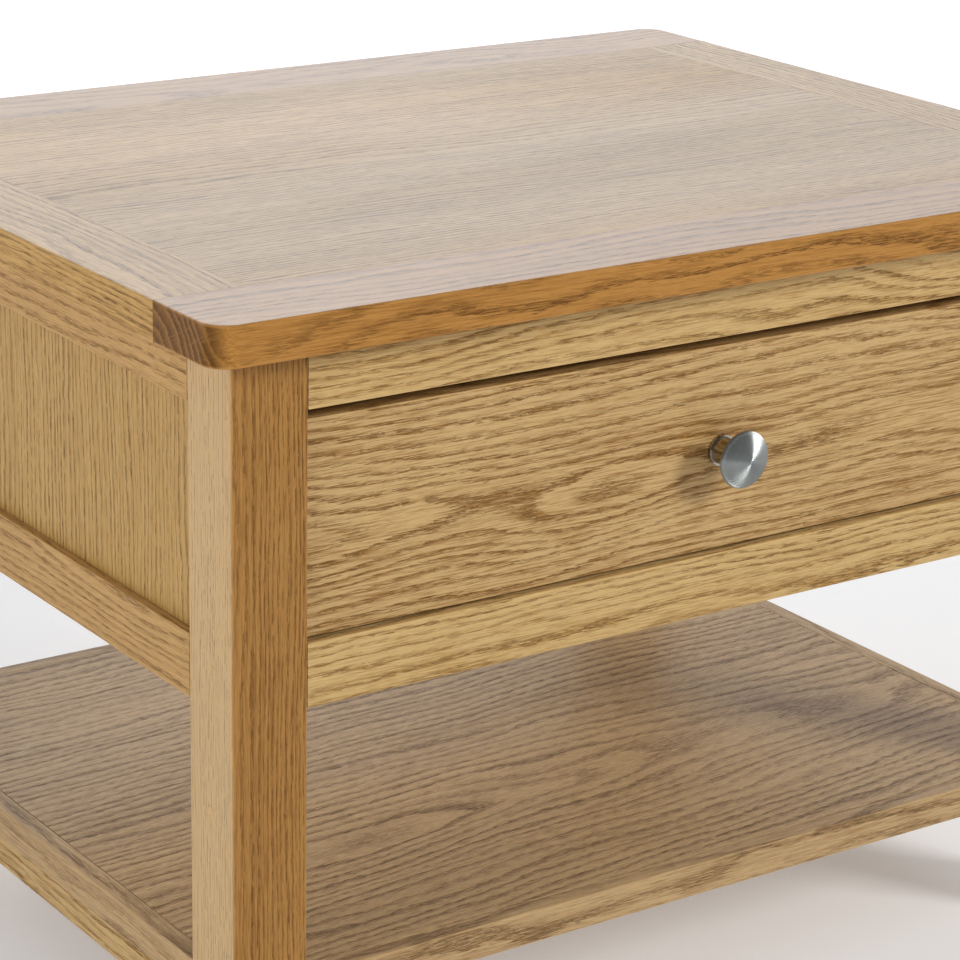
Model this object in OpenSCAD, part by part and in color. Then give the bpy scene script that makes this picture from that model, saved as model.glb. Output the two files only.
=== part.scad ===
// Side table with one drawer, a framed top and a low shelf.
// Frame: millimetres, +Z up, -Y is the drawer side, origin on the floor
// below the middle of the top.

/* [Table] */
// Width over the outer faces of the legs
body_w = 634; // [520:2:760]
// Depth over the outer faces of the legs
body_d = 500; // [400:10:620]
// Height of the top's surface above the floor
table_h = 480; // [430:10:620]
// Side of the square legs
leg_w = 45; // [40:1:60]

/* [Top] */
// Thickness of the framed top
top_t = 22.5; // [18:0.5:28]
// Overhang of the top beyond the legs
top_over = 21; // [10:1:40]
// Width of the top's front and back boards
end_board_w = 62; // [50:1:90]
// Width of the top's left and right boards
side_board_w = 52; // [50:1:80]
// Radius of the top's corners in plan
corner_r = 15; // [6:1:30]

/* [Rails and panels] */
// Height of the rails under the top
upper_rail_h = 34.5; // [34:0.5:50]
// Height of the rails under the drawer and the panels
lower_rail_h = 36; // [34:0.5:50]
// Clear height of the drawer opening
opening_h = 126.5; // [90:0.5:150]
// Thickness of every rail
rail_t = 22; // [20:1:26]
// Depth of the panels behind the faces of the rails
panel_recess = 6; // [4:0.5:7]
// Thickness of the veneered panels
panel_t = 6; // [4:0.5:8]

/* [Drawer] */
// Depth of the drawer front's face behind the legs
front_recess = 5; // [1:0.5:8]
// Gap beside and below the drawer front
front_gap = 1.5; // [1:0.1:3]
// Gap above the drawer front
top_gap = 6.5; // [1:0.5:9]
// Thickness of the drawer front
front_t = 20; // [18:1:24]
// Thickness of the drawer's sides and back
side_t = 12; // [10:1:16]

/* [Knob] */
// Diameter of the knob's head
knob_d = 33; // [26:1:38]
// Height of the knob from the drawer front
knob_h = 27.5; // [24:0.5:32]
// Distance of the knob's axis below the middle of the drawer front
knob_drop = 1.5; // [0:0.5:10]

/* [Shelf] */
// Height of the shelf's surface above the floor
shelf_h = 102; // [75:1:150]
// Thickness of the shelf
shelf_t = 20; // [18:1:25]
// Depth of the shelf's edges behind the legs' outer faces
shelf_inset = 6; // [2:1:12]
// Width of the strips glued round the shelf's panel
lipping_w = 12; // [8:1:16]

/* [Hidden] */
$fn = 48;
eps = 0.02;          // how far a cutter runs past the face that it opens
OAK = "#d8b27c";
OAK_DARK = "#b98a55";
PLY = "#cdb388";
STEEL = "#b9bcc0";

// Heights
glide_t = 3;
leg_top = table_h - top_t;
upper_z = leg_top - upper_rail_h;    // underside of the upper rails
opening_z = upper_z - opening_h;     // top of the lower rails
lower_z = opening_z - lower_rail_h;  // underside of the lower rails

// Plan
half_w = body_w / 2;
half_d = body_d / 2;
span_w = body_w - 2 * leg_w;         // between the front legs
span_d = body_d - 2 * leg_w;         // between the legs of one side
top_w = body_w + 2 * top_over;
top_d = body_d + 2 * top_over;

// Joints of the frame
tenon_t = 8;
tenon_len = min(22, leg_w - 20);
tenon_out = 7;                       // from a rail's outer face to its tenon
shoulder = 5;                        // from a rail's plain edge to its tenon
groove_d = 8;
groove_shoulder = groove_d + 2;      // from a grooved edge to the tenon
joint_clear = 0.5;                   // behind a tenon, tongue or panel edge
tongue_t = top_t / 3;
tongue_len = 8;
tongue_stop = 20;                    // from the top's side edges to the groove's ends

// Drawer
drawer_hw = span_w / 2 - front_gap;  // half of the drawer's width
front_y = -half_d + front_recess;
inner_y = front_y + front_t;         // back face of the drawer front
stop_d = 12;
run_clear = 0.3;                     // play of the drawer on its runners and stops
rear_y = half_d - rail_t - stop_d - run_clear;
side_z = opening_z + run_clear;      // lower edge of the drawer's sides
drawer_top = upper_z - top_gap;
bottom_t = 6;
bottom_lift = 10;                    // from the sides' lower edges to the bottom panel
bottom_in = 6;                       // how deep the bottom panel sits in its grooves
bottom_z = side_z + bottom_lift;
back_z = bottom_z + bottom_t;        // lower edge of the drawer's back
lap = 6;                             // wood left in front of the front dovetails
tail_len = front_t - lap;
tail_slope = 1 / 7;

// Drawer movement
guide_play = 0.8;
guide_x = drawer_hw + guide_play;
guide_rise = 12;
runner_h = 20;
runner_in = drawer_hw - 28;          // inner edge of a runner
stub_len = 6;
stub_margin = 5;                     // from a runner's edges to its stub tenon
stub_x = [runner_in + 2, drawer_hw - 6];
stub_play = 0.1;
guide_screw_y = span_d / 2 - 45;
guide_screw_len = half_w - rail_t - guide_x + 10;

// Fixings
screw_r = 2;
screw_head_r = 4;
screw_clear = 0.1;
top_screw_len = 28;
bottom_screw_len = 20;
block_screw_x = runner_in - screw_head_r - 2;  // clear of the kicker, so that a driver reaches it
block_screw_in = 12;                 // from a rail to the block's screw
button_screw_in = 18;                // from a rail to the button's screw
pan_head_h = 2.4;
block_leg = 60;                      // length of a corner block along each rail
block_t = 14;                        // fits over a kicker in the lowest upper rails
button_w = 24;
button_d = 30;
button_t = 14;
button_tongue_t = 6;
button_tongue_len = 8;
button_x = 100;
glide_r = 11;
glide_pin_r = 2.5;
glide_pin_len = 12;

// Knob
knob_r = knob_d / 2;
knob_base_r = 9;
knob_neck_r = 5.8;                   // at the narrowest place
knob_dome_h = 5;                     // height of the domed face
knob_rim = knob_h - knob_dome_h;     // where the domed face starts
knob_bore = 12;
knob_z = (opening_z + front_gap + drawer_top) / 2 - knob_drop;

// Shelf
stretcher_h = 24;
stretcher_in = lipping_w;            // from a leg's outer face to the stretcher
shelf_clear = 0.5;                   // round the legs
stretcher_z = shelf_h - shelf_t - stretcher_h;
shelf_screw_len = stretcher_h + shelf_t * 0.6;
notch = leg_w - shelf_inset + shelf_clear;

// --- Shared shapes ---

// A block given by its lowest and highest corners
module span(a, b) {
    translate(a) cube(b - a);
}

// A block whose ends run past the given corners, for cutting
module cut(a, b) {
    span(a - [eps, eps, eps], b + [eps, eps, eps]);
}

// The child and its mirror image across the YZ plane
module both_sides() {
    children();
    mirror([1, 0, 0]) children();
}

// The child and its mirror image across the XZ plane
module both_ends() {
    children();
    mirror([0, 1, 0]) children();
}

// Countersunk wood screw: head at the origin, point along +Z
module wood_screw(len, grow = 0) {
    rotate_extrude($fn = 24) polygon([
        [0, -grow],
        [screw_head_r + grow, -grow],
        [screw_r + grow, screw_head_r - screw_r],
        [screw_r + grow, len - 2 * screw_r],
        [0, len + grow]
    ]);
}

// A rail that lies along X, outer face at y = 0 and lower edge at z = 0
module rail(len, h, low_shoulder, high_shoulder) {
    span([-len / 2, 0, 0], [len / 2, rail_t, h]);
    both_sides() span(
        [len / 2 - eps, tenon_out, low_shoulder],
        [len / 2 + tenon_len, tenon_out + tenon_t, h - high_shoulder]
    );
}

// Groove for a panel in the edge of a rail that lies along X
module panel_groove(len, z) {
    cut([-len / 2 - tenon_len, panel_recess, z], [len / 2 + tenon_len, panel_recess + panel_t, z + groove_d]);
}

// Rail above a panel, grooved in its lower edge
module rail_over_panel(len) {
    difference() {
        rail(len, upper_rail_h, groove_shoulder, shoulder);
        panel_groove(len, 0);
    }
}

// Rail below a panel, grooved in its upper edge
module rail_under_panel(len) {
    difference() {
        rail(len, lower_rail_h, shoulder, groove_shoulder);
        panel_groove(len, lower_rail_h - groove_d);
    }
}

// Panel that lies along X behind the outer faces of its rails
module panel(len) {
    reach = groove_d - joint_clear;
    span(
        [-len / 2 - reach, panel_recess, opening_z - reach],
        [len / 2 + reach, panel_recess + panel_t, upper_z + reach]
    );
}

// Places that turn a piece made along X to each side of the body
module at_front() { translate([0, -half_d, 0]) children(); }
module at_back() { translate([0, half_d, 0]) rotate([0, 0, 180]) children(); }
module at_left() { translate([-half_w, 0, 0]) rotate([0, 0, -90]) children(); }
module at_right() { translate([half_w, 0, 0]) rotate([0, 0, 90]) children(); }

// --- Legs ---

// Mortise in the +X face of a leg whose outer corner is at the origin
module mortise(z0, z1, out = tenon_out) {
    cut([leg_w - tenon_len - joint_clear, out, z0], [leg_w, out + tenon_t, z1]);
}

// Mortises for an upper and a lower rail in the +X face
module rail_mortises() {
    mortise(upper_z + groove_shoulder, leg_top - shoulder);
    mortise(lower_z + shoulder, opening_z - groove_shoulder);
}

// Groove for a panel in the +X face
module leg_groove() {
    cut(
        [leg_w - groove_d, panel_recess, opening_z - groove_d],
        [leg_w, panel_recess + panel_t, upper_z + groove_d]
    );
}

// Turns a cut made in the +X face to the +Y face
module other_face() {
    mirror([1, -1, 0]) children();
}

// Front-left leg, or with has_back_panel the leg of a back corner
module leg(has_back_panel) {
    color(OAK) translate([-half_w, -half_d, 0]) difference() {
        span([0, 0, glide_t], [leg_w, leg_w, leg_top]);
        rail_mortises();
        other_face() {
            rail_mortises();
            leg_groove();
            mortise(stretcher_z + shoulder, stretcher_z + stretcher_h - shoulder, stretcher_in + tenon_out);
        }
        if (has_back_panel) leg_groove();
        translate([leg_w / 2, leg_w / 2, glide_t - eps])
            cylinder(r = glide_pin_r, h = glide_pin_len + 1, $fn = 24);
    }
}

module leg_front_left() { leg(false); }
module leg_front_right() { mirror([1, 0, 0]) leg(false); }
module leg_back_left() { mirror([0, 1, 0]) leg(true); }
module leg_back_right() { mirror([1, 0, 0]) mirror([0, 1, 0]) leg(true); }

// Round plastic feet, each with a pin that is driven into the leg
module foot_glides() {
    chamfer = 1;
    color("#6d5a45") both_sides() both_ends()
        translate([half_w - leg_w / 2, half_d - leg_w / 2, 0]) rotate_extrude() polygon([
            [0, 0],
            [glide_r - chamfer, 0],
            [glide_r, chamfer],
            [glide_r, glide_t],
            [glide_pin_r, glide_t],
            [glide_pin_r, glide_t + glide_pin_len],
            [0, glide_t + glide_pin_len]
        ]);
}

// --- Rails and panels ---

// Slots in a rail's inner face for the buttons that hold the top
module button_slots() {
    play = 1;
    z = upper_rail_h - button_t;
    both_sides() cut(
        [button_x - button_w / 2 - play, rail_t - button_tongue_len - play, z - play / 2],
        [button_x + button_w / 2 + play, rail_t, z + button_tongue_t + play / 2]
    );
}

// Holes in a rail's inner face for the stubs of both runners or kickers
module stub_holes(z) {
    both_sides() cut(
        [stub_x[0] - stub_play, rail_t - stub_len - joint_clear, z + stub_margin - stub_play],
        [stub_x[1] + stub_play, rail_t, z + runner_h - stub_margin + stub_play]
    );
}

module front_upper_rail() {
    color(OAK) at_front() translate([0, 0, upper_z]) difference() {
        rail(span_w, upper_rail_h, groove_shoulder, shoulder);
        button_slots();
        stub_holes(0);
    }
}

module front_lower_rail() {
    color(OAK) at_front() translate([0, 0, lower_z]) difference() {
        rail(span_w, lower_rail_h, shoulder, groove_shoulder);
        stub_holes(lower_rail_h - runner_h);
    }
}

module back_upper_rail() {
    color(OAK) at_back() translate([0, 0, upper_z]) difference() {
        rail_over_panel(span_w);
        button_slots();
        stub_holes(0);
    }
}

module back_lower_rail() {
    color(OAK) at_back() translate([0, 0, lower_z]) difference() {
        rail_under_panel(span_w);
        stub_holes(lower_rail_h - runner_h);
    }
}

module left_upper_rail() { color(OAK) at_left() translate([0, 0, upper_z]) rail_over_panel(span_d); }
module right_upper_rail() { color(OAK) at_right() translate([0, 0, upper_z]) rail_over_panel(span_d); }

// Lower rail of the left side, with the holes of the guide's screws
module side_lower_rail() {
    difference() {
        at_left() translate([0, 0, lower_z]) rail_under_panel(span_d);
        place_guide_screws() wood_screw(guide_screw_len);
    }
}

module left_lower_rail() { color(OAK) side_lower_rail(); }
module right_lower_rail() { color(OAK) mirror([1, 0, 0]) side_lower_rail(); }

module left_panel() { color(PLY) at_left() panel(span_d); }
module right_panel() { color(PLY) at_right() panel(span_d); }
module back_panel() { color(PLY) at_back() panel(span_w); }

// --- Drawer movement ---

// Bar between the front and back rails with a stub at each end
module bar(z) {
    end_y = half_d - rail_t;
    span([-guide_x, -end_y, z], [-runner_in, end_y, z + runner_h]);
    span(
        [-stub_x[1], -end_y - stub_len, z + stub_margin],
        [-stub_x[0], end_y + stub_len, z + runner_h - stub_margin]
    );
}

module left_runner() { color(OAK_DARK) bar(opening_z - runner_h); }
module right_runner() { color(OAK_DARK) mirror([1, 0, 0]) bar(opening_z - runner_h); }
module left_kicker() { color(OAK_DARK) bar(upper_z); }
module right_kicker() { color(OAK_DARK) mirror([1, 0, 0]) bar(upper_z); }

// Screws that run from a guide's inner face into the left lower rail
module place_guide_screws() {
    for (y = [-guide_screw_y, 0, guide_screw_y])
        translate([-guide_x, y, opening_z - runner_h / 2]) rotate([0, -90, 0]) children();
}

// Strip between the left legs that keeps the drawer straight
module guide() {
    difference() {
        span(
            [-half_w + rail_t, -span_d / 2, opening_z - runner_h],
            [-guide_x, span_d / 2, opening_z + guide_rise]
        );
        place_guide_screws() wood_screw(guide_screw_len, screw_clear);
    }
}

module left_guide() { color(OAK_DARK) guide(); }
module right_guide() { color(OAK_DARK) mirror([1, 0, 0]) guide(); }
module guide_screws() { color(STEEL) both_sides() place_guide_screws() wood_screw(guide_screw_len); }

// Block on a runner that the drawer's side meets when it closes
module stop() {
    stop_h = 25;
    span(
        [-stub_x[1], rear_y + run_clear, opening_z],
        [-stub_x[0], half_d - rail_t, opening_z + stop_h]
    );
}

module left_stop() { color(OAK_DARK) stop(); }
module right_stop() { color(OAK_DARK) mirror([1, 0, 0]) stop(); }

// --- Top ---

// Tongue or groove solid at the middle of the top's thickness
module tongue(x0, y0, x1, y1) {
    z = leg_top + tongue_t;
    span([x0, y0, z], [x1, y1, z + tongue_t]);
}

// Outline of the top with its four round corners
module top_outline() {
    difference() {
        square([top_w, top_d], center = true);
        both_sides() both_ends() translate([top_w / 2 - corner_r, top_d / 2 - corner_r]) difference() {
            square([corner_r + 1, corner_r + 1]);
            circle(r = corner_r, $fn = 96);
        }
    }
}

// Front board, the full width of the top, grooved along its inner edge
module end_board() {
    joint_y = -top_d / 2 + end_board_w;
    difference() {
        translate([0, 0, leg_top]) linear_extrude(top_t) intersection() {
            top_outline();
            translate([-top_w / 2, -top_d / 2]) square([top_w, end_board_w]);
        }
        tongue(
            -top_w / 2 + tongue_stop - joint_clear, joint_y - tongue_len - joint_clear,
            top_w / 2 - tongue_stop + joint_clear, joint_y + eps
        );
        all_top_screws();
    }
}

// Left board, tongued into both end boards and grooved for the field panel
module side_board() {
    joint_x = -top_w / 2 + side_board_w;
    joint_y = top_d / 2 - end_board_w;
    difference() {
        union() {
            span([-top_w / 2, -joint_y, leg_top], [joint_x, joint_y, table_h]);
            tongue(
                -top_w / 2 + tongue_stop, -joint_y - tongue_len,
                joint_x - tongue_len - joint_clear, joint_y + tongue_len
            );
        }
        tongue(joint_x - tongue_len - joint_clear, -joint_y - eps, joint_x + eps, joint_y + eps);
    }
}

module top_front_board() { color(OAK) end_board(); }
module top_back_board() { color(OAK) mirror([0, 1, 0]) end_board(); }
module top_left_board() { color(OAK) side_board(); }
module top_right_board() { color(OAK) mirror([1, 0, 0]) side_board(); }

module top_field_panel() {
    x = top_w / 2 - side_board_w;
    y = top_d / 2 - end_board_w;
    color(OAK) difference() {
        union() {
            span([-x, -y, leg_top], [x, y, table_h]);
            tongue(-x - tongue_len, -y, x + tongue_len, y);
            tongue(-x, -y - tongue_len, x, y + tongue_len);
        }
        all_top_screws();
    }
}

// --- Fixings of the top ---

// Block in the front-left corner, round the inner edge of the leg
module corner_block() {
    z = leg_top - block_t;
    x0 = -half_w + rail_t;
    y0 = -half_d + rail_t;
    leg_x = -half_w + leg_w;
    leg_y = -half_d + leg_w;
    difference() {
        translate([0, 0, z]) linear_extrude(block_t) polygon([
            [leg_x, y0],
            [leg_x + block_leg, y0],
            [x0, leg_y + block_leg],
            [x0, leg_y],
            [leg_x, leg_y]
        ]);
        place_block_screw() wood_screw(top_screw_len, screw_clear);
    }
}

// Place of the screw of the front-left corner block
module place_block_screw() {
    translate([-block_screw_x, -half_d + rail_t + block_screw_in, leg_top - block_t]) children();
}

// Place of the screw of the front-left button
module place_button_screw() {
    translate([-button_x, -half_d + rail_t + button_screw_in, leg_top - button_t]) children();
}

module corner_block_screws() {
    color(STEEL) both_sides() both_ends() place_block_screw() wood_screw(top_screw_len);
}

module button_screws() {
    color(STEEL) both_sides() both_ends() place_button_screw() wood_screw(top_screw_len);
}

// Every screw that goes up into the top
module all_top_screws() {
    corner_block_screws();
    button_screws();
}

module corner_block_front_left() { color(OAK_DARK) corner_block(); }
module corner_block_front_right() { color(OAK_DARK) mirror([1, 0, 0]) corner_block(); }
module corner_block_back_left() { color(OAK_DARK) mirror([0, 1, 0]) corner_block(); }
module corner_block_back_right() { color(OAK_DARK) mirror([1, 0, 0]) mirror([0, 1, 0]) corner_block(); }

// Blocks whose tongues hook into the rails and whose screws hold the top
module top_buttons() {
    y0 = -half_d + rail_t;
    z = leg_top - button_t;
    color(OAK_DARK) both_sides() both_ends() difference() {
        union() {
            span([-button_x - button_w / 2, y0, z], [-button_x + button_w / 2, y0 + button_d, leg_top]);
            span(
                [-button_x - button_w / 2, y0 - button_tongue_len, z],
                [-button_x + button_w / 2, y0 + eps, z + button_tongue_t]
            );
        }
        place_button_screw() wood_screw(top_screw_len, screw_clear);
    }
}

// --- Shelf ---

// Plan of the shelf with its four corners cut out round the legs
module shelf_plan() {
    w = body_w - 2 * shelf_inset;
    d = body_d - 2 * shelf_inset;
    difference() {
        square([w, d], center = true);
        both_sides() both_ends()
            translate([w / 2 - notch, d / 2 - notch]) square([notch + 1, notch + 1]);
    }
}

// Strip along the front edge, between the legs
module end_lipping() {
    x = half_w - shelf_inset - notch;
    y = -half_d + shelf_inset;
    span([-x, y, shelf_h - shelf_t], [x, y + lipping_w, shelf_h]);
}

// Strip along the left edge, between the legs
module side_lipping() {
    x = -half_w + shelf_inset;
    y = half_d - shelf_inset - notch;
    difference() {
        span([x, -y, shelf_h - shelf_t], [x + lipping_w, y, shelf_h]);
        place_shelf_screws() wood_screw(shelf_screw_len);
    }
}

module shelf_panel() {
    color(OAK) difference() {
        translate([0, 0, shelf_h - shelf_t]) linear_extrude(shelf_t) difference() {
            shelf_plan();
            both_ends() translate([-half_w, -half_d]) square([body_w, shelf_inset + lipping_w]);
            both_sides() translate([-half_w, -half_d]) square([shelf_inset + lipping_w, body_d]);
        }
        both_sides() place_shelf_screws() wood_screw(shelf_screw_len);
    }
}

module shelf_front_lipping() { color(OAK_DARK) end_lipping(); }
module shelf_back_lipping() { color(OAK_DARK) mirror([0, 1, 0]) end_lipping(); }
module shelf_left_lipping() { color(OAK_DARK) side_lipping(); }
module shelf_right_lipping() { color(OAK_DARK) mirror([1, 0, 0]) side_lipping(); }

// Screws that go up through the left stretcher into the shelf
module place_shelf_screws() {
    x = -half_w + stretcher_in + rail_t * 0.6;
    for (y = [-span_d / 3, 0, span_d / 3]) translate([x, y, stretcher_z]) children();
}

// Low rail between the left legs that carries the shelf
module stretcher() {
    difference() {
        at_left() translate([0, stretcher_in, stretcher_z]) rail(span_d, stretcher_h, shoulder, shoulder);
        place_shelf_screws() wood_screw(shelf_screw_len, screw_clear);
    }
}

module left_stretcher() { color(OAK) stretcher(); }
module right_stretcher() { color(OAK) mirror([1, 0, 0]) stretcher(); }
module shelf_screws() { color(STEEL) both_sides() place_shelf_screws() wood_screw(shelf_screw_len); }

// --- Drawer ---

// Row of dovetails in a side's plane, wide at y = 0 and narrow at y = len
module tails(len, z0, z1, count) {
    pitch = (z1 - z0) / count;
    wide = pitch * 0.36;
    narrow = wide - len * tail_slope;
    for (i = [0:count - 1]) translate([0, 0, z0 + pitch * (i + 0.5)])
        rotate([90, 0, 90]) linear_extrude(side_t) polygon([
            [0, -wide],
            [0, wide],
            [len + eps, narrow],
            [len + eps, -narrow]
        ]);
}

// Tails of the left side that lie in the drawer front
module front_tails() {
    translate([-drawer_hw, inner_y - tail_len, 0]) tails(tail_len, opening_z + front_gap, drawer_top, 3);
}

// Tails of the left side that pass through the drawer's back
module back_tails() {
    translate([-drawer_hw, rear_y, 0]) mirror([0, 1, 0]) tails(side_t, back_z, drawer_top, 3);
}

module bottom_board() {
    x = drawer_hw - side_t + bottom_in;
    span([-x, inner_y - bottom_in, bottom_z], [x, rear_y, bottom_z + bottom_t]);
}

module place_bottom_screws() {
    spacing = drawer_hw * 0.6;
    for (x = [-spacing, 0, spacing]) translate([x, rear_y - side_t / 2, bottom_z]) children();
}

module place_knob() {
    translate([0, front_y, knob_z]) rotate([90, 0, 0]) children();
}

module drawer_front() {
    color(OAK) difference() {
        span([-drawer_hw, front_y, opening_z + front_gap], [drawer_hw, inner_y, drawer_top]);
        both_sides() front_tails();
        bottom_board();
        place_knob() translate([0, 0, -front_t - 1]) cylinder(r = screw_r + screw_clear, h = front_t + 2);
    }
}

// Left side with its tails at both ends and the groove of the bottom
module side_piece() {
    difference() {
        union() {
            span([-drawer_hw, inner_y, side_z], [-drawer_hw + side_t, rear_y, drawer_top]);
            front_tails();
        }
        difference() {
            cut([-drawer_hw, rear_y - side_t, back_z], [-drawer_hw + side_t, rear_y, drawer_top]);
            back_tails();
        }
        bottom_board();
    }
}

module drawer_left_side() { color(OAK_DARK) side_piece(); }
module drawer_right_side() { color(OAK_DARK) mirror([1, 0, 0]) side_piece(); }

module drawer_back() {
    color(OAK_DARK) difference() {
        span([-drawer_hw, rear_y - side_t, back_z], [drawer_hw, rear_y, drawer_top]);
        both_sides() back_tails();
        place_bottom_screws() wood_screw(bottom_screw_len);
    }
}

module drawer_bottom() {
    color(PLY) difference() {
        bottom_board();
        place_bottom_screws() wood_screw(bottom_screw_len, screw_clear);
    }
}

module drawer_bottom_screws() {
    color(STEEL) place_bottom_screws() wood_screw(bottom_screw_len);
}

// --- Knob ---

// Turned profile: stepped base, waisted neck and a head with a round edge and a domed face
function knob_profile() =
    let (
        step_r = knob_base_r - 0.9,
        base_t = 1.8,
        step_t = 2.8,
        edge_r = 1.6,                // rounding of the head's edge
        under = knob_rim - 2 * edge_r,
        under_r = knob_r - edge_r,
        dome_r = (under_r * under_r + knob_dome_h * knob_dome_h) / (2 * knob_dome_h),
        dome_a = asin(under_r / dome_r)
    )
    concat(
        [[0, 0], [knob_base_r, 0], [knob_base_r, base_t], [step_r, base_t], [step_r, step_t]],
        [for (i = [0:12]) let (t = i / 12) [
            knob_neck_r + (step_r - 0.4 - knob_neck_r) * pow(1 - t, 2) + (under_r - knob_neck_r) * pow(t, 5),
            step_t + (under - step_t) * t
        ]],
        [for (a = [-72:18:72]) [under_r + edge_r * cos(a), knob_rim - edge_r + edge_r * sin(a)]],
        [for (a = [dome_a:-dome_a / 10:dome_a / 20]) [dome_r * sin(a), knob_h - dome_r * (1 - cos(a))]],
        [[0, knob_h]]
    );

module knob() {
    color("#b4b2ab") place_knob() difference() {
        rotate_extrude($fn = 96) polygon(knob_profile());
        translate([0, 0, -1]) cylinder(r = screw_r + screw_clear, h = knob_bore + 1);
    }
}

// Machine screw from inside the drawer, through its front into the knob
module knob_screw() {
    color(STEEL) place_knob() translate([0, 0, -front_t]) union() {
        cylinder(r = screw_r, h = front_t + knob_bore - 1);
        translate([0, 0, -pan_head_h]) cylinder(r = screw_head_r, h = pan_head_h);
    }
}

top_front_board();
top_back_board();
top_left_board();
top_right_board();
top_field_panel();
leg_front_left();
leg_front_right();
leg_back_left();
leg_back_right();
foot_glides();
front_upper_rail();
front_lower_rail();
back_upper_rail();
back_lower_rail();
left_upper_rail();
left_lower_rail();
right_upper_rail();
right_lower_rail();
left_panel();
right_panel();
back_panel();
left_runner();
right_runner();
left_kicker();
right_kicker();
left_guide();
right_guide();
guide_screws();
left_stop();
right_stop();
corner_block_front_left();
corner_block_front_right();
corner_block_back_left();
corner_block_back_right();
corner_block_screws();
top_buttons();
button_screws();
shelf_panel();
shelf_front_lipping();
shelf_back_lipping();
shelf_left_lipping();
shelf_right_lipping();
left_stretcher();
right_stretcher();
shelf_screws();
drawer_front();
drawer_left_side();
drawer_right_side();
drawer_back();
drawer_bottom();
drawer_bottom_screws();
knob();
knob_screw();
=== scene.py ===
"""Looks of an oak side table with one drawer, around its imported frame.

Every wooden piece is a copy of its CAD node with merged corners and eased arrises. Each one is
sawn from an imaginary log: an attribute holds the place of every corner in that log, in
millimetres, and one oak shader grows rings, pores, rays and end grain from that place. The knob
is a copy as well, and the screws and feet keep their CAD shapes.
"""

import math
import random

import bpy
import numpy as np
from mathutils import Matrix, Vector


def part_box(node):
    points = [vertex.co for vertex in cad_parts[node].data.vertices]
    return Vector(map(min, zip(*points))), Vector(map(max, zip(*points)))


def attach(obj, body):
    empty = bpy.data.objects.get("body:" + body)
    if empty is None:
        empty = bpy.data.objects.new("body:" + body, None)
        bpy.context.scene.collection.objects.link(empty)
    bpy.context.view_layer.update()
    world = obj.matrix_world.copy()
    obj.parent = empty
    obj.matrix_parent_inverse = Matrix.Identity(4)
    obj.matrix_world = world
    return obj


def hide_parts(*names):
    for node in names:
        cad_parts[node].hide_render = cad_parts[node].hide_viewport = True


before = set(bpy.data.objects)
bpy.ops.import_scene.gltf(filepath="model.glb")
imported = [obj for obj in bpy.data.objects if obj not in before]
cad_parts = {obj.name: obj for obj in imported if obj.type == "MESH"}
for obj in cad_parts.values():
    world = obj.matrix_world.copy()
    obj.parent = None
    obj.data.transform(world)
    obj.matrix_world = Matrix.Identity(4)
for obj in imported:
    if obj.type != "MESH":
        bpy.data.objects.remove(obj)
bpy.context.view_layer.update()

MM = 0.001
X, Y, Z = Vector((1, 0, 0)), Vector((0, 1, 0)), Vector((0, 0, 1))

# Attributes that a sawn piece holds for each corner
LOG = "log_place"
END = "end_grain"
# wear and painted highlight along the arrises
WEAR_AND_HIGHLIGHT = "wear"
# painted light and sheen on the side faces
SIDE_SHEEN = "sapwood"
POLISH = "polish"

# Shaping
MERGE_DISTANCE = 0.005 * MM
FLAT_ANGLE = math.radians(0.6)
SHARP_ANGLE = math.radians(40)
ON_PLANE = 0.05 * MM
TIGHT_SHARE = 0.08        # of the usual rounding, along a tight joint
ARRIS_STEPS = 3

# Oak
SHEEN = 0.42              # roughness of its lacquered surface
PORE_DEPTH = 0.5 * MM
RAY_RADIUS = 75.0         # mm, where rays have their true spacing


# --- Shader building ---


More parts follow.
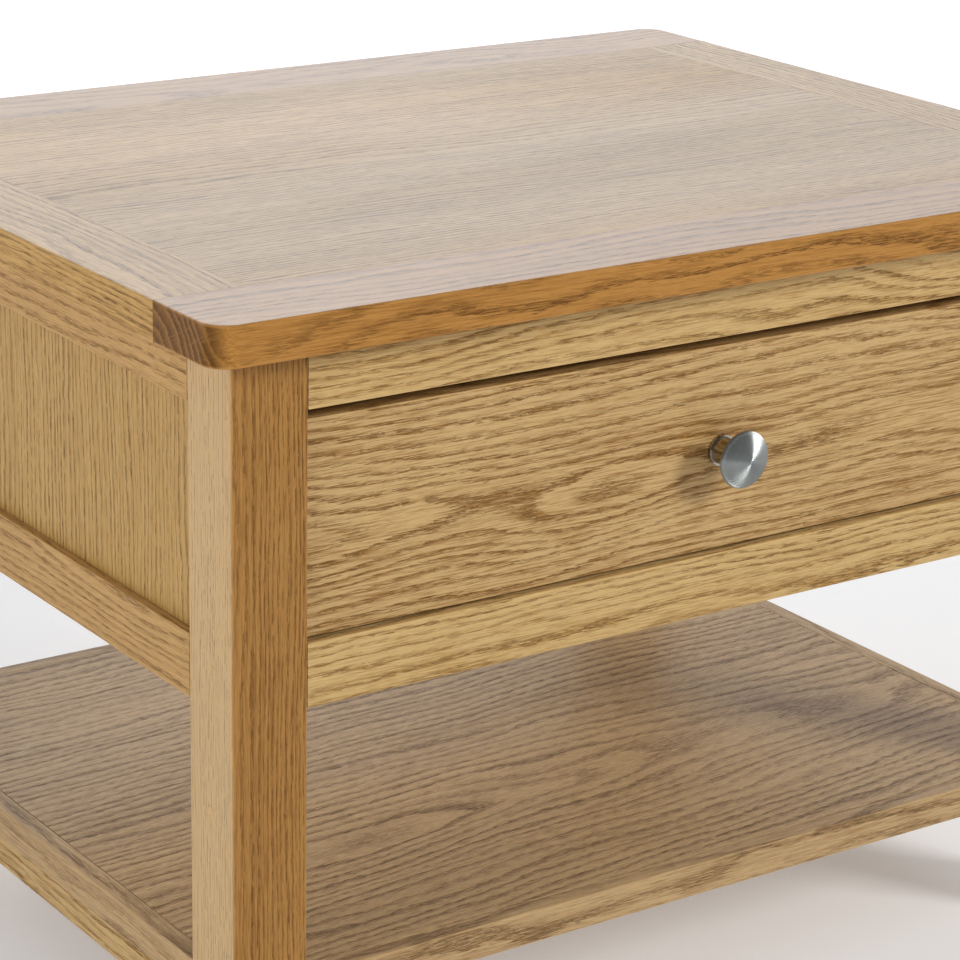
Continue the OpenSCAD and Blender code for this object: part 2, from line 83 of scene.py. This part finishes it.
class Finish:
    """One material, and short ways to add nodes to it."""

    def __init__(self, name):
        self.material = bpy.data.materials.new(name)
        self.material.use_nodes = True
        self.tree = self.material.node_tree
        self.shader = self.tree.nodes["Principled BSDF"]

    def add(self, kind, **settings):
        node = self.tree.nodes.new("ShaderNode" + kind)
        for name, value in settings.items():
            setattr(node, name, value)
        return node

    def feed(self, socket, value):
        """Joins an output to a socket, or sets a plain value on it."""
        if isinstance(value, bpy.types.NodeSocket):
            self.tree.links.new(value, socket)
        else:
            socket.default_value = value

    def maths(self, operation, *values, clamp=False):
        node = self.add("Math", operation=operation, use_clamp=clamp)
        for socket, value in zip(node.inputs, values):
            self.feed(socket, value)
        return node.outputs[0]

    def vector(self, operation, *values):
        node = self.add("VectorMath", operation=operation)
        for socket, value in zip(node.inputs, values):
            self.feed(socket, value)
        return node.outputs["Value" if operation in ("LENGTH", "DOT_PRODUCT") else "Vector"]

    def attribute(self, name, output):
        return self.add("Attribute", attribute_name=name).outputs[output]

    def millimetres(self):
        """The place on the piece, in millimetres."""
        here = self.add("TexCoord").outputs["Object"]
        return self.vector("SCALE", here, (0, 0, 0), (0, 0, 0), 1 / MM)

    def split(self, vector):
        node = self.add("SeparateXYZ")
        self.feed(node.inputs[0], vector)
        return node.outputs

    def join(self, x, y, z):
        node = self.add("CombineXYZ")
        for socket, value in zip(node.inputs, (x, y, z)):
            self.feed(socket, value)
        return node.outputs[0]

    def noise(self, vector, cell, detail=2.0, rough=0.5, output="Fac"):
        """Noise whose blobs are about cell millimetres long along each axis."""
        node = self.add("TexNoise")
        place = self.vector("DIVIDE", vector, cell)
        self.feed(node.inputs["Vector"], place)
        self.feed(node.inputs["Scale"], 1.0)
        self.feed(node.inputs["Detail"], detail)
        self.feed(node.inputs["Roughness"], rough)
        return node.outputs[output]

    def step(self, value, low, high):
        """0 below low, 1 above high, and smooth between; low may be the larger."""
        node = self.add("MapRange", interpolation_type="SMOOTHSTEP")
        swap = low > high
        self.feed(node.inputs["Value"], value)
        self.feed(node.inputs["From Min"], high if swap else low)
        self.feed(node.inputs["From Max"], low if swap else high)
        self.feed(node.inputs["To Min"], 1.0 if swap else 0.0)
        self.feed(node.inputs["To Max"], 0.0 if swap else 1.0)
        return node.outputs["Result"]

    def mix(self, share, low, high, blend="MIX"):
        node = self.add("Mix", data_type="RGBA", blend_type=blend)
        self.feed(node.inputs[0], share)
        self.feed(node.inputs[6], (*low, 1) if isinstance(low, tuple) else low)
        self.feed(node.inputs[7], (*high, 1) if isinstance(high, tuple) else high)
        return node.outputs[2]

    def bump(self, height, depth):
        """Relief of depth metres where height goes from 0 to 1."""
        node = self.add("Bump")
        self.feed(node.inputs["Height"], height)
        self.feed(node.inputs["Distance"], depth)
        self.feed(self.shader.inputs["Normal"], node.outputs[0])

    def set(self, **sockets):
        """Sets the shader's own sockets, named with _ for a space."""
        for name, value in sockets.items():
            self.feed(self.shader.inputs[name.replace("_", " ")], value)


def oak(name, pale, deep, pore, ring, wander, flecks=0.0, coat=0.06, figure=1.0, grain=3.2):
    """Oak with its rings, open pores, rays and darker end grain, under a satin lacquer.

    ring is the width of a year's growth and wander how far the pith strays, in millimetres.
    flecks, coat, figure and grain are how strongly rays, lacquer, rings and fibres show.
    """
    wood = Finish(name)
    place = wood.attribute(LOG, "Vector")
    along, across, below = wood.split(place)

    def swing(value, reach, base):
        """base plus a noise value swung about its middle."""
        return wood.maths("MULTIPLY_ADD", wood.maths("SUBTRACT", value, 0.5), reach, base)

    # The pith wanders slowly along the log, which draws the cathedrals
    drift = wood.noise(place, (230, 95, 95), detail=1.0, output="Color")
    drift_x, drift_y, _ = wood.split(drift)
    side = swing(drift_x, 2.6 * wander, across)
    down = swing(drift_y, 2.6 * wander, below)
    radius = wood.vector("LENGTH", wood.join(0.0, side, down))
    waved = swing(wood.noise(place, (95, 22, 22), detail=2.0), 1.7 * ring, radius)
    waved = swing(wood.noise(place, (11, 1.1, 1.1), detail=2.0), 0.5 * ring, waved)
    waved = swing(wood.noise(wood.join(radius, 0.0, 0.0), (5.5 * ring, 1, 1), detail=1), 3.0 * ring, waved)
    count = wood.maths("DIVIDE", waved, ring)
    year = wood.maths("FRACT", count)

    # Spring wood starts each ring with a band of open pores and fades into smooth summer wood
    spring = wood.maths("MULTIPLY", wood.step(year, 0.0, 0.12), wood.step(year, 0.70, 0.15))
    vigour = wood.noise(wood.join(wood.maths("MULTIPLY", wood.maths("FLOOR", count), 1.7), 0.0,
                                  wood.maths("DIVIDE", along, 260)), (1, 1, 1), detail=1)
    spring = wood.maths("MULTIPLY", spring, swing(wood.step(vigour, 0.32, 0.66), 0.6, 0.7))
    dashes = wood.noise(place, (9, 0.75, 0.75), detail=2, rough=0.65)
    crowd = wood.maths("MULTIPLY_ADD", spring, 0.85, 0.15)
    pores = wood.maths("MULTIPLY", wood.step(dashes, 0.50, 0.57), crowd)
    fibres = wood.noise(place, (26, 0.85, 0.85), detail=3, rough=0.75)
    patches = wood.noise(place, (190, 30, 30), detail=2)

    shade = swing(patches, 0.9, 0.18)
    shade = swing(fibres, grain, shade)
    shade = wood.maths("MULTIPLY_ADD", spring, 0.62 * figure, shade, clamp=True)
    colour = wood.mix(shade, pale, deep)
    colour = wood.mix(wood.maths("MULTIPLY", pores, 0.68 * figure), colour, pore)

    # Painted light and sheen: side faces marked by this attribute are mixed toward a paler, yellower tone
    sap = wood.attribute(SIDE_SHEEN, "Fac")
    colour = wood.mix(wood.maths("MULTIPLY", sap, 0.6), colour, tuple(1.1 * c ** 0.45 for c in pale))

    # Rays stand in sheets that run out from the pith: flecks on a face, pale lines on an end
    turn = wood.maths("MULTIPLY", wood.maths("ARCTAN2", side, down), RAY_RADIUS)
    if flecks:
        ray = wood.noise(wood.join(along, turn, radius), (7, 0.9, 16), detail=1)
        colour = wood.mix(wood.maths("MULTIPLY", wood.step(ray, 0.50, 0.62), flecks), colour, pale)
    end = wood.step(wood.attribute(END, "Fac"), 0.35, 0.9)
    line = wood.step(wood.noise(wood.join(turn, radius, along), (1.2, 60, 30), detail=1), 0.54, 0.62)
    summer = wood.maths("MULTIPLY", wood.step(year, 0.66, 0.8), wood.step(year, 1.0, 0.92))
    line = wood.maths("MAXIMUM", wood.maths("MULTIPLY", line, 0.45), wood.maths("MULTIPLY", summer, 0.8))
    end_colour = wood.mix(spring, tuple(0.75 * c for c in deep), tuple(0.5 * c for c in deep))
    end_colour = wood.mix(wood.maths("MULTIPLY", line, 0.75), end_colour, tuple(0.7 * c for c in pale))
    colour = wood.mix(end, colour, end_colour)

    # Handled arrises are rubbed a little paler and smoother, and the same paler tone is a painted highlight
    # along the arrises
    wear = wood.attribute(WEAR_AND_HIGHLIGHT, "Fac")
    wear = wood.maths("MULTIPLY", wear, wood.step(wood.noise(place, (30, 30, 30), detail=3), 0.25, 0.6))
    colour = wood.mix(wood.maths("MULTIPLY", wear, 0.5), colour, tuple(1.25 * c + 0.02 for c in pale))

    hollows = wood.maths("SUBTRACT", 1.0, wood.maths("MAXIMUM", pores, wood.maths("MULTIPLY", fibres, 0.5)))
    rough = wood.maths("MULTIPLY_ADD", pores, 0.2, SHEEN)
    rough = swing(fibres, 0.16, wood.maths("MULTIPLY_ADD", wear, -0.08, rough))
    lacquer = wood.maths("MULTIPLY", wood.step(wood.attribute(POLISH, "Fac"), 0.3, 0.9), coat)
    wood.set(
        Base_Color=colour,
        Roughness=rough,
        Specular_IOR_Level=0.15,
        Coat_Weight=lacquer,
        Coat_Roughness=0.25,
    )
    wood.bump(hollows, PORE_DEPTH)
    return wood.material


def brushed_nickel():
    """Nickel turned with a fine abrasive, so that its scratches run round the knob's axis."""
    metal = Finish("brushed_nickel")
    here = metal.add("TexCoord").outputs["Object"]
    centre = (knob_lo + knob_hi) / 2
    arm = metal.vector("SUBTRACT", here, tuple(centre))
    distance = metal.vector("LENGTH", metal.vector("MULTIPLY", arm, (1.0, 0.0, 1.0)))
    radius = metal.maths("MULTIPLY", distance, 1 / MM)
    fine = metal.noise(metal.join(radius, 0.0, 0.0), (0.09, 1, 1), detail=4)
    cloud = metal.noise(metal.millimetres(), (5, 5, 5), detail=3)
    metal.set(
        Base_Color=metal.mix(cloud, (0.28, 0.30, 0.29), (0.37, 0.39, 0.38)),
        Metallic=1.0,
        Roughness=metal.maths("MULTIPLY_ADD", fine, 0.12, 0.36),
        Anisotropic=1.0,
        Tangent=metal.vector("NORMALIZE", metal.vector("MULTIPLY", arm, (1.0, 0.0, 1.0))),
    )
    metal.bump(fine, 0.012 * MM)
    return metal.material


def polished_nickel():
    """Nickel buffed bright, with faint haze and a few shallow waves, and its colour darkened as a painted
    reflection of dark surroundings.
    """
    metal = Finish("polished_nickel")
    haze = metal.noise(metal.millimetres(), (2.5, 2.5, 2.5), detail=4)
    metal.set(
        # Painted reflection: the colour is kept dark to stand in for the dark room the nickel mirrors
        Base_Color=metal.mix(haze, (0.38, 0.355, 0.30), (0.46, 0.43, 0.37)),
        Metallic=1.0,
        Roughness=metal.maths("MULTIPLY_ADD", haze, 0.12, 0.06),
    )
    metal.bump(haze, 0.02 * MM)
    return metal.material


def plated_steel():
    """Zinc-plated screw steel with a mottled dull sheen."""
    metal = Finish("plated_steel")
    mottle = metal.noise(metal.millimetres(), (1.2, 1.2, 1.2), detail=4)
    metal.set(
        Base_Color=metal.mix(mottle, (0.45, 0.45, 0.44), (0.62, 0.61, 0.58)),
        Metallic=1.0,
        Roughness=metal.maths("MULTIPLY_ADD", mottle, 0.25, 0.25),
    )
    metal.bump(mottle, 0.03 * MM)
    return metal.material


def moulded_plastic():
    """Brown plastic with the fine texture of its mould."""
    plastic = Finish("moulded_plastic")
    grain = plastic.noise(plastic.millimetres(), (0.5, 0.5, 0.5), detail=3)
    plastic.set(
        Base_Color=plastic.mix(grain, (0.07, 0.045, 0.03), (0.12, 0.08, 0.055)),
        Roughness=plastic.maths("MULTIPLY_ADD", grain, 0.2, 0.45),
    )
    plastic.bump(grain, 0.08 * MM)
    return plastic.material


# --- Wooden pieces ---


def choose(piece):
    """Makes piece the only selected and the active object."""
    bpy.ops.object.select_all(action="DESELECT")
    piece.select_set(True)
    bpy.context.view_layer.objects.active = piece


def merged_copy(node):
    """A copy of a CAD node with its loose triangles joined into whole flat faces."""
    piece = bpy.data.objects.new(node + "_eased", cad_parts[node].data.copy())
    bpy.context.scene.collection.objects.link(piece)
    choose(piece)
    bpy.ops.object.mode_set(mode="EDIT")
    bpy.ops.mesh.select_all(action="SELECT")
    bpy.ops.mesh.remove_doubles(threshold=MERGE_DISTANCE)
    bpy.ops.mesh.dissolve_limited(angle_limit=FLAT_ANGLE)
    bpy.ops.object.mode_set(mode="OBJECT")
    return piece


def ease(piece, width, tight=()):
    """Rounds every sharp edge of the piece by width, and hardly at all in a tight joint's plane.

    tight holds pairs of an axis number and the plane's place on that axis.
    """
    mesh = piece.data
    beside = {}
    for polygon in mesh.polygons:
        for key in polygon.edge_keys:
            beside.setdefault(key, []).append(polygon.normal)
    weights = []
    for edge in mesh.edges:
        faces = beside.get(tuple(sorted(edge.vertices)), [])
        sharp = len(faces) == 2 and faces[0].angle(faces[1], 0) > SHARP_ANGLE
        ends = [mesh.vertices[number].co for number in edge.vertices]
        joint = any(all(abs(end[axis] - place) < ON_PLANE for end in ends) for axis, place in tight)
        weights.append(TIGHT_SHARE if sharp and joint else float(sharp))
    mesh.attributes.new("bevel_weight_edge", "FLOAT", "EDGE").data.foreach_set("value", weights)
    choose(piece)
    rounding = piece.modifiers.new("arrises", "BEVEL")
    rounding.width = width
    rounding.segments = ARRIS_STEPS
    rounding.limit_method = "WEIGHT"
    rounding.use_clamp_overlap = False
    bpy.ops.object.modifier_apply(modifier=rounding.name)
    bpy.ops.object.shade_smooth_by_angle(angle=SHARP_ANGLE)
    flat = piece.modifiers.new("flats", "WEIGHTED_NORMAL")
    flat.keep_sharp = True
    bpy.ops.object.modifier_apply(modifier=flat.name)


def store(mesh, name, values):
    """Keeps one number or one vector for each corner of the mesh."""
    kind, field = ("FLOAT_VECTOR", "vector") if values.ndim > 1 else ("FLOAT", "value")
    attribute = mesh.attributes.new(name, kind, "CORNER")
    attribute.data.foreach_set(field, values.astype(np.float32).ravel())


def saw(piece, along, face, pith=(0.0, 60.0), lean=(0.0, 0.0), start=0.0, staves=1, sap=0.0):
    """Stores each corner's place in the log, with the grain along one axis, and how much of it is
    end grain, polish, painted side sheen, and wear with painted arris highlight.

    face is the outward direction of the face that shows. pith is how far, in millimetres, the
    log's centre lies across from the middle of that face and below it, and lean how far it
    strays each way along the piece. A glued-up piece has several staves side by side, each from
    another part of the log. The last argument is how much the two side faces are painted paler,
    as painted light and sheen.
    """
    mesh = piece.data
    count = len(mesh.loops)
    corner_vertex = np.zeros(count, int)
    mesh.loops.foreach_get("vertex_index", corner_vertex)
    place = np.zeros(len(mesh.vertices) * 3)
    mesh.vertices.foreach_get("co", place)
    place = place.reshape(-1, 3) / MM
    normals = np.zeros(count * 3)
    mesh.corner_normals.foreach_get("vector", normals)
    sideways = face.cross(along)
    run, width, depth = place @ np.array(along), place @ np.array(sideways), place @ np.array(face)
    middle, edge = (width.min() + width.max()) / 2, width.min()
    top = depth.max()
    stave_width = (width.max() - width.min()) / staves
    stave = np.zeros(count)
    if staves > 1:
        for polygon in mesh.polygons:
            at = Vector(polygon.center).dot(sideways) / MM
            loops = range(polygon.loop_start, polygon.loop_start + polygon.loop_total)
            stave[list(loops)] = min(max((at - edge) // stave_width, 0), staves - 1)
    run -= (run.min() + run.max()) / 2
    stray = run / (run.max() - run.min())
    log = np.column_stack([
        run + start,
        width - middle - pith[0] - lean[0] * stray,
        depth - top + pith[1] + lean[1] * stray,
    ])[corner_vertex]
    shift = random.Random(piece.name)
    for number in range(1, staves):
        chosen = stave == number
        log[chosen] += [shift.uniform(900, 4000), shift.uniform(-60, 60), shift.uniform(-12, 30)]
    normals = normals.reshape(-1, 3)
    # Wear and painted arris highlight are full where an arris turns well away from every axis,
    # and a lying board's upright corners have none
    full_tilt = 0.15
    tilted = np.clip((1 - np.abs(normals).max(axis=1)) / full_tilt, 0, 1)
    lies = abs(face.z) > 0.5
    upright = (np.abs(normals[:, 2]) < 0.05) & lies
    store(mesh, LOG, log)
    store(mesh, END, np.abs(normals @ np.array(along)))
    store(mesh, POLISH, np.clip(normals @ np.array(face), 0, 1))
    # Painted light and sheen on the two side faces
    store(mesh, SIDE_SHEEN, sap * np.clip(np.abs(normals @ np.array(sideways)) * 2 - 1, 0, 1))
    store(mesh, WEAR_AND_HIGHLIGHT, np.where(upright, 0, tilted))


def split_staves(piece, across, count):
    """Cuts the faces of a glued-up piece along the joints between its staves."""
    choose(piece)
    width = [Vector(v.co).dot(across) for v in piece.data.vertices]
    low, high = min(width), max(width)
    bpy.ops.object.mode_set(mode="EDIT")
    for number in range(1, count):
        bpy.ops.mesh.select_all(action="SELECT")
        at = low + (high - low) * number / count
        bpy.ops.mesh.bisect(plane_co=across * at, plane_no=across)
    bpy.ops.object.mode_set(mode="OBJECT")


def board(node, body, finish, slot, along, face, width, staves=1, tight=(), **sawing):
    """Makes the finished piece of one wooden node, with arrises rounded by width."""
    piece = merged_copy(node)
    ease(piece, width, tight)
    if staves > 1:
        split_staves(piece, face.cross(along), staves)
    saw(piece, along, face, staves=staves, **sawing)
    piece.data.materials.clear()
    piece.data.materials.append(finish)
    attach(piece, body)
    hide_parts(node)


# Each wood's pale, deep and pore colours
drawer_oak = oak(
    "drawer_oak", (0.58, 0.39, 0.175), (0.30, 0.15, 0.04), (0.18, 0.08, 0.02),
    ring=4.6, wander=15, grain=4.4,
)
rail_oak = oak(
    "rail_oak", (0.61, 0.42, 0.18), (0.35, 0.185, 0.05), (0.17, 0.08, 0.02),
    ring=4.0, wander=10,
)
side_oak = oak(
    "side_oak", (0.55, 0.33, 0.12), (0.36, 0.19, 0.055), (0.17, 0.08, 0.02),
    ring=3.4, wander=6, flecks=0.3,
)
brown_oak = oak(
    "brown_oak", (0.40, 0.20, 0.052), (0.25, 0.11, 0.022), (0.13, 0.057, 0.012),
    ring=2.0, wander=4, grain=4,
)
edge_oak = oak(
    "edge_oak", (0.46, 0.22, 0.052), (0.25, 0.105, 0.019), (0.10, 0.04, 0.008),
    ring=6.5, wander=15, coat=0.8,
)
top_oak = oak(
    "top_oak", (0.56, 0.335, 0.11), (0.25, 0.12, 0.026), (0.095, 0.038, 0.009),
    ring=3.8, wander=9, coat=0.6,
)
panel_oak = oak(
    "panel_oak", (0.53, 0.33, 0.11), (0.36, 0.195, 0.05), (0.16, 0.08, 0.02),
    ring=4.5, wander=5,
)
shelf_oak = oak(
    "shelf_oak", (0.53, 0.36, 0.18), (0.27, 0.155, 0.065), (0.13, 0.075, 0.03),
    ring=8, wander=10, coat=0.12,
)
inner_wood = oak(
    "inner_wood", (0.62, 0.47, 0.29), (0.50, 0.355, 0.20), (0.34, 0.22, 0.11),
    ring=3.0, wander=5, figure=0.6,
)

C, D = "carcass", "drawer"
SOLID, VENEER, INNER = "solid_oak", "oak_veneer", "pale_inner_wood"

# Top, whose boards meet in tight joints
EDGE = 1.6 * MM
JOINTS = (
    (1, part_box("top_front_board")[1].y), (1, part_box("top_back_board")[0].y),
    (0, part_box("top_left_board")[1].x), (0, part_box("top_right_board")[0].x),
)
board("top_front_board", C, edge_oak, SOLID, X, Z, EDGE, tight=JOINTS, pith=(62, 58), start=300)
board("top_back_board", C, edge_oak, SOLID, X, Z, EDGE, tight=JOINTS, pith=(-20, 40), start=2100)
board("top_left_board", C, top_oak, SOLID, Y, Z, EDGE, tight=JOINTS, pith=(40, 60), start=3900)
board("top_right_board", C, top_oak, SOLID, Y, Z, EDGE, tight=JOINTS, pith=(60, 50), start=5200)
board("top_field_panel", C, top_oak, SOLID, X, Z, EDGE, tight=JOINTS, pith=(30, 45), start=6100, staves=4)

# Legs, each from further along the log
for number, node in enumerate(["leg_front_left", "leg_front_right", "leg_back_left", "leg_back_right"]):
    outward = -Y if "front" in node else Y
    # Both side faces of each leg are painted paler: painted light and sheen
    board(node, C, brown_oak, SOLID, Z, outward, 1.2 * MM, pith=(46 + 9 * number, 60), start=1300 * number,
          sap=1)

# Rails, panels and what carries the drawer, with a stretch of the log for each side
for side, along, outward in (("front", X, -Y), ("back", X, Y), ("left", Y, -X), ("right", Y, X)):
    seed = 700 * len(side) + 190 * ord(side[0])
    timber = rail_oak if side == "front" else side_oak
    board(side + "_upper_rail", C, timber, SOLID, along, outward, 0.9 * MM, pith=(34, 46), start=seed)
    board(side + "_lower_rail", C, timber, SOLID, along, outward, 0.9 * MM, pith=(-30, 40), start=seed + 900)
    if side != "front":
        board(side + "_panel", C, panel_oak, VENEER, Z, outward, 0.3 * MM, pith=(150, 60), start=seed)
for side, outward in (("left", -X), ("right", X)):
    for part in ("runner", "kicker", "guide"):
        stretch = 300 * len(part)
        board(f"{side}_{part}", C, inner_wood, INNER, Y, -outward, 0.6 * MM, pith=(40, 50), start=stretch)
    board(side + "_stop", C, inner_wood, INNER, Y, -outward, 0.6 * MM)
    board(side + "_stretcher", C, rail_oak, SOLID, Y, outward, 0.9 * MM, pith=(36, 50), start=8000)
for end in ("front", "back"):
    for side in ("left", "right"):
        board(f"corner_block_{end}_{side}", C, inner_wood, INNER, X, Z, 0.6 * MM, pith=(40, 30))
board("top_buttons", C, inner_wood, INNER, Y, -Z, 0.5 * MM, pith=(30, 30))

# Shelf
board("shelf_panel", C, shelf_oak, VENEER, X, Z, 0.3 * MM, pith=(-100, 26), lean=(30, 46), start=500)
for side, along in (("front", X), ("back", X), ("left", Y), ("right", Y)):
    stretch = 900 * len(side)
    board(f"shelf_{side}_lipping", C, shelf_oak, SOLID, along, Z, 0.9 * MM, pith=(60, 50), start=stretch)

# Drawer
board("drawer_front", D, drawer_oak, SOLID, X, -Y, 0.9 * MM, pith=(0, 24), start=450)
board("drawer_left_side", D, inner_wood, INNER, Y, -X, 0.4 * MM, pith=(60, 40), start=200)
board("drawer_right_side", D, inner_wood, INNER, Y, X, 0.4 * MM, pith=(50, 40), start=1900)
board("drawer_back", D, inner_wood, INNER, X, Y, 0.4 * MM, pith=(60, 50), start=3300)
board("drawer_bottom", D, inner_wood, "plywood", X, Z, 0.2 * MM, pith=(120, 60), start=4700)

# --- Knob ---

knob_lo, knob_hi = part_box("knob")
DOME_SHARE = 0.27         # of the knob's length


def turned_knob():
    """The knob's CAD shape with merged corners, brushed on its dome and polished elsewhere."""
    piece = merged_copy("knob")
    choose(piece)
    bpy.ops.object.shade_smooth_by_angle(angle=math.radians(32))
    piece.data.materials.clear()
    piece.data.materials.append(polished_nickel())
    piece.data.materials.append(brushed_nickel())
    dome_y = knob_lo.y + (knob_hi.y - knob_lo.y) * DOME_SHARE
    for polygon in piece.data.polygons:
        polygon.material_index = int(polygon.center.y < dome_y)
    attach(piece, D)
    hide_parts("knob")
    return piece


knob_piece = turned_knob()

# --- Screws and feet keep their CAD shapes ---

screw_steel = plated_steel()
for node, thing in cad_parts.items():
    if "screw" in node:
        thing.data.materials.clear()
        thing.data.materials.append(screw_steel)
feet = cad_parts["foot_glides"]
feet.data.materials.clear()
feet.data.materials.append(moulded_plastic())

# --- Studio ---

DAYLIGHT = (0.97, 0.98, 1.0)
WARM = (1.0, 0.98, 0.95)


def studio_floor():
    bpy.ops.object.select_all(action="DESELECT")
    bpy.ops.mesh.primitive_plane_add(size=30, location=(0, 0, 0))
    floor = bpy.context.object
    floor.name = "studio_floor"
    paper = Finish("pale_paper")
    mottle = paper.noise(paper.add("TexCoord").outputs["Object"], (0.8, 0.8, 0.8), detail=3)
    paper.set(
        Base_Color=paper.mix(mottle, (0.83, 0.835, 0.85), (0.86, 0.865, 0.88)),
        Roughness=0.7,
        Emission_Color=(*DAYLIGHT, 1),
        Emission_Strength=0.2,
    )
    floor.data.materials.append(paper.material)


def softbox(name, place, target, size, power, colour=(1, 1, 1), glossy=True, only=None):
    """A rectangular lamp at place that faces target, which the camera doesn't see.

    It lights every piece, or only the one given.
    """
    lamp = bpy.data.lights.new(name, "AREA")
    lamp.shape = "RECTANGLE"
    lamp.size, lamp.size_y = size
    lamp.energy = power
    lamp.color = colour
    holder = bpy.data.objects.new(name, lamp)
    bpy.context.scene.collection.objects.link(holder)
    holder.location = place
    holder.rotation_euler = (Vector(target) - Vector(place)).to_track_quat("-Z", "Y").to_euler()
    holder.visible_camera = False
    holder.visible_glossy = glossy
    if only:
        lit = bpy.data.collections.new(name + "_lights")
        lit.objects.link(only)
        holder.light_linking.receiver_collection = lit


def studio_light():
    world = bpy.data.worlds.new("studio")
    bpy.context.scene.world = world
    world.use_nodes = True
    sky = world.node_tree.nodes["Background"]
    sky.inputs["Color"].default_value = (*DAYLIGHT, 1)
    sky.inputs["Strength"].default_value = 0.26
    knob = (knob_lo + knob_hi) / 2
    from_knob = 1.7 * Vector((1.75, -2.4, 1.45))
    softbox("key", knob + from_knob, knob, (1.7, 1.7), 192, WARM, glossy=False)
    softbox("strip", knob + Vector((2.56, -1.51, 0.41)), knob, (0.45, 1.3), 70, only=knob_piece)
    softbox("left", (-3.0, -0.9, 1.1), (-0.1, 0, 0.3), (1.5, 1.5), 38, WARM, glossy=False)
    softbox("backdrop", (2.4, 3.5, 1.65), (0, 0, 0.45), (5, 2.6), 44, (0.97, 0.99, 1.0))

    # A faint lamp just below the drawer case lifts the shelf out of its shadow
    middle = -0.04
    below_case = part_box("front_lower_rail")[0].z - 0.01
    softbox("under", (middle, 0, below_case), (middle, 0, 0), (0.46, 0.32), 0.17, (0.85, 0.94, 1.0),
            glossy=False)

    softbox("wash", (0.2, 3.6, 2.6), (0.2, 3.6, 0), (6, 3), 104)


def studio_camera():
    """A long lens, low over the top, from the front left corner."""
    heading, pitch, roll = math.radians(34.63), math.radians(18.44), math.radians(1.2)
    camera = bpy.data.cameras.new("camera")
    camera.lens = 119.9
    camera.sensor_width = 36
    holder = bpy.data.objects.new("camera", camera)
    bpy.context.scene.collection.objects.link(holder)
    turn = Matrix.Rotation(-heading, 4, "Z") @ Matrix.Rotation(math.pi / 2 - pitch, 4, "X")
    corner = Vector((*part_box("leg_front_left")[0].xy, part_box("front_lower_rail")[1].z))
    from_corner = Vector((-0.7583, -1.3165, 0.6048))
    holder.matrix_world = (
        Matrix.Translation(corner + from_corner)
        @ turn
        @ Matrix.Rotation(roll, 4, "Z")
    )
    bpy.context.scene.camera = holder


studio_floor()
studio_light()
studio_camera()
bpy.context.scene.view_settings.view_transform = "Standard"
